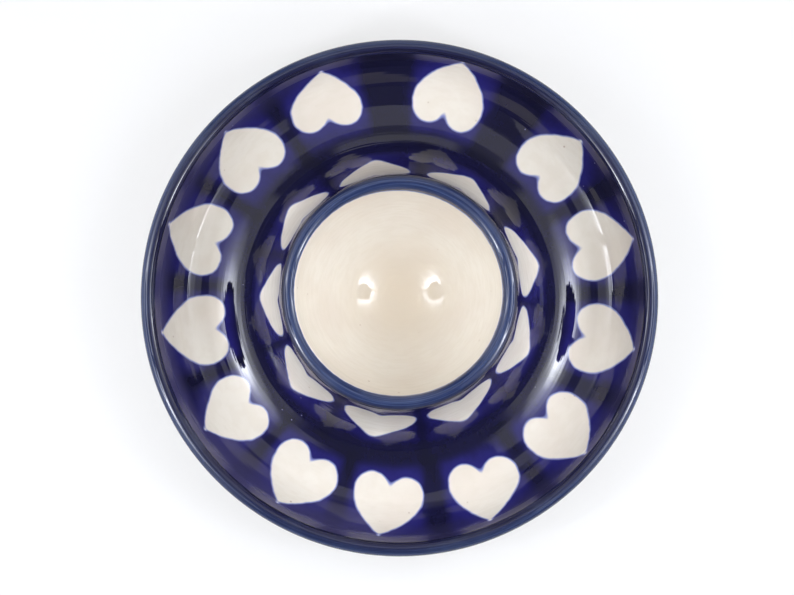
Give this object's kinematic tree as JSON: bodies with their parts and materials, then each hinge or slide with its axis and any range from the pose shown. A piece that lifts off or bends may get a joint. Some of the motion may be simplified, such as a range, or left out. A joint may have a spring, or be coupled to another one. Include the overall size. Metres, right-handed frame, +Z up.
{
  "type": "egg cup",
  "caption": "Low round egg cup standing in the middle of its own shallow saucer, in blue and cream glazed stoneware with stamped hearts, on a turned foot ring.",
  "frame": {"origin": "centre of the foot ring's tread, on the table and on the cup's axis", "axes": "+Z up along the axis of the cup and the saucer, and -Y towards the viewer of the picture, who looks down"},
  "size_m": [0.125, 0.125, 0.035],
  "materials": {
    "stoneware": "fired stoneware, dry and slightly gritty where it shows on the foot ring's tread",
    "cobalt_glaze": "cobalt blue slip under glossy glaze, near black where it is thick and violet blue where it is thin",
    "heart_glaze": "creamy white under glossy glaze, with a soft pale blue edge",
    "lip_glaze": "blue-grey where the cobalt thins over the rounded lips, glossy",
    "cream_glaze": "glossy clear glaze over cream stoneware, with fine specks"
  },
  "bodies": {
    "root": {"saucer": "stoneware", "cup": "stoneware", "luting_slip": "stoneware", "foot_ring": "stoneware", "saucer_ground": "cobalt_glaze", "saucer_hearts": "heart_glaze", "saucer_lip_band": "lip_glaze", "cup_ground": "cobalt_glaze", "cup_hearts": "heart_glaze", "cup_lip_band": "lip_glaze", "seat_glaze": "cream_glaze", "underside_glaze": "cream_glaze"}
  },
  "joints": []
}
